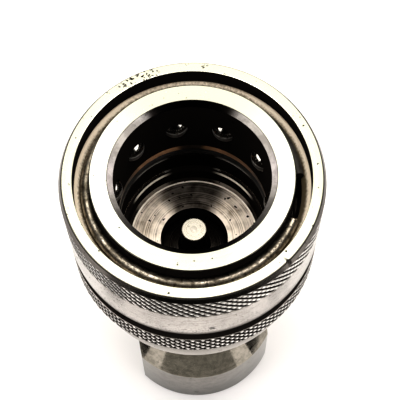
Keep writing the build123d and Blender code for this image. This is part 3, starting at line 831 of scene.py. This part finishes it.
def ball_cutter():
    """Radial ball holes of the body as one mesh, each with the lip that keeps its ball in."""
    lip_r, hole_r = 2.5, 3.1
    section = [(lip_r, BORE_R - 2), (lip_r, BORE_R), (hole_r, BORE_R + 1), (hole_r, BODY_R + 2)]
    sides = 40
    vertices, faces = [], []
    for node in BALL_NODES:
        low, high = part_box(node)
        centre = (low + high) / 2
        turn = math.atan2(centre.y, centre.x)
        out = Vector((math.cos(turn), math.sin(turn), 0))
        across = Vector((-math.sin(turn), math.cos(turn), 0))
        first = len(vertices)
        for ring_r, reach in section:
            for i in range(sides):
                a = TAU * i / sides
                height = ring_r * MM * math.sin(a) + centre.z
                offset = across * (ring_r * MM * math.cos(a)) + Vector((0, 0, height))
                vertices.append(out * (reach * MM) + offset)
        for row in range(len(section) - 1):
            for i in range(sides):
                a, b = first + row * sides + i, first + row * sides + (i + 1) % sides
                faces.append((a, b, b + sides, a + sides))
        faces.append(tuple(first + i for i in range(sides)))
        faces.append(tuple(first + (len(section) - 1) * sides + i for i in range(sides)))
    return as_object("ball_cutter", vertices, faces)


def drill(body, cutter):
    """Takes the cutter's shape out of the body, and keeps edges sharper than 35 degrees sharp."""
    cut = body.modifiers.new("ball_holes", "BOOLEAN")
    cut.operation, cut.solver, cut.object = "DIFFERENCE", "EXACT", cutter
    drilled = body.evaluated_get(bpy.context.evaluated_depsgraph_get())
    mesh = bpy.data.meshes.new_from_object(drilled)
    body.modifiers.clear()
    body.data = mesh
    mesh.polygons.foreach_set("use_smooth", [True] * len(mesh.polygons))
    mesh.set_sharp_from_angle(angle=math.radians(35))
    bpy.data.objects.remove(cutter)


def body_outline():
    """Outline of the front body, with its edges eased so that they catch light as turned edges do."""
    thread_r, seal_bore_r, chamber_r, seat_r = 15.05, 14.4, 12.5, 11.0
    seal_bore_low, chamber_low = 37.3, 44.5
    seat_top = CAVITY_FLOOR - 3.9
    seat_low = seat_top - seat_r + THROAT_R
    waist_r, snap_r, stop_r, groove_r = 17.8, 19.8, 20.2, 18.3
    _, wire_low, wire_high = corners("sleeve_stop_wire")
    wire_bottom, wire_top = wire_low - 0.05, wire_high + 0.05
    _, snap_low, snap_high = corners("spring_snap_ring")
    snap_bottom, snap_top = snap_low - 0.1, snap_high + 0.1
    return rounded([
        (thread_r, BODY_BOTTOM, 0.1),
        (thread_r, seal_bore_low, 0.05),
        (seal_bore_r, seal_bore_low, 0.05),
        (seal_bore_r, chamber_low, 0.05),
        (chamber_r, chamber_low, 0.05),
        (chamber_r, seat_low, 0.05),
        (seat_r, seat_low, 0.05),
        (THROAT_R, seat_top, 0.05),
        (THROAT_R, CAVITY_FLOOR, 0.12),
        (CAVITY_R - 0.65, CAVITY_FLOOR, 0.3),
        (CAVITY_R, CAVITY_FLOOR + 0.65, 0.3),
        (CAVITY_R, NOSE_TIP - BORE_R + CAVITY_R, 0.15),
        (BORE_R, NOSE_TIP, 0.2),
        (BORE_R, SEAL_GROOVE_LOW, 0.18),
        (groove_r, SEAL_GROOVE_LOW, 0.05),
        (groove_r, SEAL_GROOVE_HIGH, 0.05),
        (BORE_R, SEAL_GROOVE_HIGH, 0.18),
        (BORE_R, BODY_TOP - 0.86, 0.12),
        (BORE_R + MOUTH_CHAMFER, BODY_TOP, 0.07),
        (BODY_R - 0.12, BODY_TOP, 0.1),
        (BODY_R, BODY_TOP - 0.12, 0.1),
        (BODY_R, wire_top, 0.05),
        (stop_r, wire_top, 0.05),
        (stop_r, wire_bottom, 0.05),
        (BODY_R, wire_bottom, 0.05),
        (BODY_R, snap_top, 0.05),
        (snap_r, snap_top, 0.05),
        (snap_r, snap_bottom, 0.05),
        (BODY_R, snap_bottom, 0.05),
        (BODY_R, BODY_BOTTOM + 7.5, 0.3),
        (waist_r, BODY_BOTTOM + 1.4, 0.3),
        (waist_r, BODY_BOTTOM, 0.25),
    ])


def build_body(materials):
    """Front body with its drilled ball holes."""
    body = lathe("body_shell", body_outline(), 240, smooth_angle=35)
    drill(body, ball_cutter())
    dress(body, materials, "body_steel", "coupler_body", "socket_body")


# ---------------- rear adapter

THREAD_PITCH = 1.814
THREAD_DEPTH = 1.16
THREAD_ROW = 0.06
PORT_END = 17.5
QUARTER = 80
FLAT_SHARE = 32
NARROW_EDGE = math.radians(4.0)
WIDE_EDGE = math.radians(36.0)


def flat_angles(radii):
    """Angles of each row's vertices, with one vertex line kept on each edge of the wrench flats.

    Rows that don't reach the flats keep that line at a narrow angle, or at a wide one well inside them.
    """
    rows = []
    for r in radii:
        edge = math.acos(FLAT_X / r) if r > FLAT_X * 1.003 else NARROW_EDGE
        if r < FLAT_X - 0.5:
            edge = WIDE_EDGE
        near = np.linspace(0, edge, FLAT_SHARE + 1)
        far = np.linspace(edge, math.pi / 2, QUARTER - FLAT_SHARE + 1)[1:]
        quarter = np.concatenate([near, far])
        half = np.concatenate([quarter, math.pi - quarter[-2::-1]])
        rows.append(np.concatenate([half[:-1], half[:-1] + math.pi]))
    return np.array(rows)


def adapter_outline():
    """Outline of the rear end, with close rows in the port and on the outside."""
    body_thread_r, spigot_r, groove_r = 15.0, 14.3, 12.4
    passage_r, passage_low = PORT_R - 1.26, 18.8
    groove_low, groove_high = 38.0, 41.3
    spigot_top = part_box("rear_adapter")[1].z / MM
    loop = rounded([
        (PORT_R + THREAD_DEPTH + 0.4, 0, 0.1),
        (PORT_R, THREAD_DEPTH + 0.4, 0.02),
        (PORT_R, PORT_END, 0.02),
        (passage_r, passage_low, 0.2),
        (passage_r, spigot_top),
        (spigot_r, spigot_top),
        (spigot_r, groove_high),
        (groove_r, groove_high),
        (groove_r, groove_low),
        (spigot_r, groove_low),
        (spigot_r, 37.0, 0.05),
        (body_thread_r, 36.3, 0.05),
        (body_thread_r, BODY_BOTTOM, 0.05),
        (NECK_R, BODY_BOTTOM, 0.15),
        (NECK_R, 24.05, 0.8),
        (BASE_R, BASE_TOP, 0.35),
        (BASE_R, 0, 0.4),
    ])

    def in_port(point):
        return abs(point[0] - PORT_R) < THREAD_ROW and point[1] < PORT_END + 0.1

    def outside(point):
        return point[0] > NECK_R - 0.01 and point[1] < BODY_BOTTOM

    loop = filled(loop, 0, PORT_END + 0.1, THREAD_PITCH / 12, in_port)
    return filled(loop, 0, BODY_BOTTOM, 0.5, outside)


def build_adapter(materials):
    """Rear end with wrench flats and a real thread in the port."""
    def cut(angle, radius, height):
        port = (np.abs(radius - PORT_R) < THREAD_ROW) & (height < PORT_END + 0.1)
        phase = height / THREAD_PITCH - angle / TAU
        tooth = np.clip(np.abs(phase - np.floor(phase) - 0.5) * 2 * 1.15 - 0.05, 0, 1)
        ends = np.clip((17.2 - height) / 1.5, 0, 1) * np.clip((height - 1.0) / 0.6, 0, 1)
        radius = np.where(port, radius + THREAD_DEPTH * tooth * ends, radius)
        limit = FLAT_X / np.maximum(np.abs(np.cos(angle)), 1e-6)
        return np.minimum(radius, np.where(radius > NECK_R, limit, radius))

    loop = adapter_outline()
    angles = flat_angles([p[0] for p in loop])
    adapter = lathe("adapter_shell", loop, 4 * QUARTER, shape=cut, angles=angles, smooth_angle=32)
    dress(adapter, materials, "adapter_steel", "coupler_body", "rear_adapter")


# ---------------- wire parts

def coil_centres(coil_r, wire_r, bottom, top, turns, per_turn=48):
    """Centreline of a spring with a closed, ground turn at each end."""
    closed = 1.0
    ground = wire_r * 0.45
    low, high = bottom + ground, top - ground
    step = 2 * wire_r * 1.02
    active = (high - low - 2 * closed * step) / (turns - 2 * closed)
    centres = []
    for i in range(int(turns * per_turn) + 1):
        t = i / per_turn
        if t < closed:
            z = low + step * t
        elif t < turns - closed:
            z = low + step * closed + active * (t - closed)
        else:
            z = high - step * (turns - t)
        centres.append((coil_r * math.cos(t * TAU), coil_r * math.sin(t * TAU), z))
    return centres


def build_spring(materials, name, node, body, wire_r, turns):
    """Compression spring with a closed, ground turn at each end, as one fixed mesh on the given body."""
    low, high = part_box(node)
    coil_r = high.x / MM - wire_r
    bottom, top = low.z / MM, high.z / MM
    centres = coil_centres(coil_r, wire_r, bottom, top, turns)
    spring = tube(name, centres, 14, wire_r, bottom, top)
    dress(spring, materials, "spring_steel", body, node)
    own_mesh(spring)


def build_stop_wire(materials):
    """Open wire ring, cut square at the ends of its gap."""
    low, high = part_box("sleeve_stop_wire")
    wire_r = (high.z - low.z) / MM / 2
    centre_r, z = high.y / MM - wire_r, (low.z + high.z) / MM / 2
    gap, gap_at = math.radians(27.0), math.radians(-19.0)
    count = 160
    centres = []
    for i in range(count + 1):
        a = gap_at + gap / 2 + (TAU - gap) * i / count
        centres.append((centre_r * math.cos(a), centre_r * math.sin(a), z))
    wire = tube("stop_wire", centres, 20, wire_r * 0.99)
    dress(wire, materials, "wire_steel", "coupler_body", "sleeve_stop_wire")


# ---------------- dressing

def dress(piece, materials, slot, body, node):
    """Gives a piece its material and its body, and hides the CAD node that it stands for."""
    piece.data.materials.clear()
    piece.data.materials.append(materials[slot].material)
    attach(piece, body)
    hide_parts(node)


def dress_cad_nodes(materials):
    """Gives every CAD node the material of its slot."""
    for part in frame["record"]["subparts"]:
        obj = frame["nodes"][part["node"]]
        material = materials[part["material_slot"]].material
        obj.data.materials.clear()
        obj.data.materials.append(material)


# ---------------- studio

CAMERA_AZIMUTH = math.radians(-9.0)
CAMERA_ELEVATION = math.radians(63.53)
CAMERA_DISTANCE = 0.2240
CAMERA_PITCH = math.radians(64.82)
CAMERA_YAW = math.radians(0.826)
CAMERA_ROLL = math.radians(1.116)
CAMERA_LENS_MM = 101.7
FLOOR_GLOW = 0.06
WORLD_GLOW = 0.12
BENCH_HEIGHT = 0.0005


def add_camera():
    """Camera that looks steeply down into the coupler's mouth."""
    data = bpy.data.cameras.new("camera")
    data.lens = CAMERA_LENS_MM
    data.sensor_width = 36.0
    data.clip_start, data.clip_end = 0.01, 20.0
    camera = bpy.data.objects.new("camera", data)
    bpy.context.scene.collection.objects.link(camera)
    forward = Vector((
        math.sin(CAMERA_YAW) * math.cos(CAMERA_PITCH),
        math.cos(CAMERA_YAW) * math.cos(CAMERA_PITCH),
        -math.sin(CAMERA_PITCH),
    ))
    right = Vector((math.cos(CAMERA_YAW), -math.sin(CAMERA_YAW), 0))
    down = forward.cross(right)
    tilted = right * math.cos(CAMERA_ROLL) + down * math.sin(CAMERA_ROLL)
    down = down * math.cos(CAMERA_ROLL) - right * math.sin(CAMERA_ROLL)
    aim = Matrix((tilted, -down, -forward)).transposed().to_4x4()
    place = Vector((0, -math.cos(CAMERA_ELEVATION), math.sin(CAMERA_ELEVATION))) * CAMERA_DISTANCE
    local = Matrix.Translation(place + Vector((0, 0, SLEEVE_TOP * MM))) @ aim
    camera.matrix_world = Matrix.Rotation(CAMERA_AZIMUTH, 4, "Z") @ local
    bpy.context.scene.camera = camera


def around(turn, elevation, distance):
    """Point seen from the mouth at a turn in degrees from the camera's side, positive to its right."""
    flat = math.cos(math.radians(elevation)) * distance
    angle = math.radians(turn) + CAMERA_AZIMUTH
    height = SLEEVE_TOP * MM + math.sin(math.radians(elevation)) * distance
    return Vector((math.sin(angle) * flat, -math.cos(angle) * flat, height))


def add_softbox(name, turn, elevation, distance, width, height, brightness, colour):
    """Rectangular area light of the given radiance, aimed at the mouth."""
    data = bpy.data.lights.new(name, "AREA")
    data.shape = "RECTANGLE"
    data.size, data.size_y = width, height
    data.energy = brightness * math.pi * width * height
    data.color = colour
    light = bpy.data.objects.new(name, data)
    bpy.context.scene.collection.objects.link(light)
    place = around(turn, elevation, distance)
    light.location = place
    light.rotation_euler = (Vector((0, 0, SLEEVE_TOP * MM)) - place).to_track_quat("-Z", "Y").to_euler()


def add_floor():
    """Plain pale floor, which glows a little so that it stays even."""
    size = 4.0
    mesh = bpy.data.meshes.new("floor")
    square = [(-size, -size, 0), (size, -size, 0), (size, size, 0), (-size, size, 0)]
    mesh.from_pydata(square, [], [(0, 1, 2, 3)])
    floor = bpy.data.objects.new("floor", mesh)
    bpy.context.scene.collection.objects.link(floor)
    s = Shader("floor_paint")
    position, _, _ = s.place()
    mottle = s.noise(position, 12.0, 3.0, 0.5)
    colour = s.mix(s.spread(mottle, 0.3, 0.7), rgb(0.85, 0.835, 0.835), rgb(0.88, 0.865, 0.865))
    s.join(colour, "Base Color")
    s.join(colour, "Emission Color")
    s.surface.inputs["Emission Strength"].default_value = FLOOR_GLOW
    s.surface.inputs["Roughness"].default_value = 0.9
    s.surface.inputs["Specular IOR Level"].default_value = 0.2
    mesh.materials.append(s.material)


def add_card(name, points, brightness):
    """Studio card of even brightness that shows only in glossy reflections."""
    mesh = bpy.data.meshes.new(name)
    mesh.from_pydata([tuple(p) for p in points], [], [tuple(range(len(points)))])
    card = bpy.data.objects.new(name, mesh)
    bpy.context.scene.collection.objects.link(card)
    s = Shader(name)
    s.surface.inputs["Base Color"].default_value = rgb(0, 0, 0)
    s.surface.inputs["Roughness"].default_value = 1.0
    s.surface.inputs["Specular IOR Level"].default_value = 0.0
    s.surface.inputs["Emission Color"].default_value = rgb(1.0, 0.97, 0.9)
    s.surface.inputs["Emission Strength"].default_value = brightness
    mesh.materials.append(s.material)
    card.visible_camera = False
    card.visible_diffuse = False
    card.visible_shadow = False
    card.visible_transmission = False


def bench_sector(first, last, inner, outer):
    """Ring sector just over the floor, between two turns from the camera's side and two radii."""
    turns = [math.radians(first + (last - first) * i / 12) + CAMERA_AZIMUTH for i in range(13)]
    near, far = ([(math.sin(a) * r, -math.cos(a) * r, BENCH_HEIGHT) for a in turns] for r in (inner, outer))
    return near + far[::-1]


def wall_card(name, turns, elevations, distance, brightness):
    """Curved card standing round the part, between two turns and two elevations."""
    turns = [turns[0] + (turns[1] - turns[0]) * i / 8 for i in range(9)]
    low = [around(turn, elevations[0], distance) for turn in turns]
    high = [around(turn, elevations[1], distance) for turn in turns]
    add_card(name, low + high[::-1], brightness)


# Soft lights: name, turn and elevation in degrees, distance, width, height, radiance and colour.
SOFTBOXES = (
    ("back_box", 180, 61, 0.7, 1.1, 0.42, 1.4, (1.0, 0.985, 0.87)),
    ("left_box", -98, 30, 0.7, 0.8, 0.42, 1.1, (1.0, 0.94, 0.92)),
    ("right_box", 98, 30, 0.7, 0.8, 0.42, 1.1, (1.0, 0.94, 0.92)),
    ("top_box", 180, 83, 0.7, 0.6, 0.2, 3.8, (1.0, 0.98, 0.94)),
    ("left_top_box", -90, 72, 0.7, 0.42, 0.3, 3.7, (1.0, 0.96, 0.92)),
    ("right_top_box", 90, 72, 0.7, 0.42, 0.3, 3.7, (1.0, 0.96, 0.92)),
    ("left_front_glint", -60, 36, 0.5, 0.2, 0.16, 3.5, (1, 1, 1)),
    ("right_front_glint", 52, 38, 0.5, 0.2, 0.16, 3.5, (1, 1, 1)),
)

# Outline of the dark card that stands in front: turn and elevation in degrees.
FRONT_CARD = (
    (-52, -9), (-26, -9), (0, -9), (26, -9), (52, -9),
    (52, 50), (40, 78), (0, 82), (-40, 78), (-52, 50),
)


def add_studio():
    """Soft lights above and at the sides, and cards in front, at the sides and behind for reflections."""
    scene = bpy.context.scene
    scene.view_settings.view_transform = "Standard"
    scene.view_settings.look = "High Contrast"
    world = bpy.data.worlds.new("studio")
    world.use_nodes = True
    background = world.node_tree.nodes["Background"]
    background.inputs["Color"].default_value = rgb(1.0, 0.985, 0.975)
    background.inputs["Strength"].default_value = WORLD_GLOW
    scene.world = world
    for box in SOFTBOXES:
        add_softbox(*box)
    add_card("front_card", [around(turn, elevation, 0.55) for turn, elevation in FRONT_CARD], 0.0)
    add_card("near_bench", bench_sector(-36, 36, 0.0572, 0.2), 0.4)
    add_card("far_bench", bench_sector(-56, 56, 0.2, 1.2), 0.01)
    add_card("left_shadow", bench_sector(-71, -53, 0.0545, 0.072), 0.0)
    add_card("right_shadow", bench_sector(53, 71, 0.0545, 0.072), 0.0)
    wall_card("back_wall", (125, 235), (-9, 40), 0.9, 0.7)
    wall_card("left_glint_card", (-104, -46), (14, 44), 0.45, 2.4)
    wall_card("right_glint_card", (46, 104), (14, 44), 0.45, 2.4)


# ---------------- the model

def main():
    """Builds the model and its studio."""
    add_camera()
    materials = make_materials()
    dress_cad_nodes(materials)
    build_sleeve(materials)
    build_body(materials)
    build_adapter(materials)
    build_spring(materials, "sleeve_coil", "sleeve_spring", "sleeve", 0.85, 6.0)
    build_spring(materials, "valve_coil", "valve_spring", "valve", 0.65, 7.0)
    build_stop_wire(materials)
    add_floor()
    add_studio()


main()
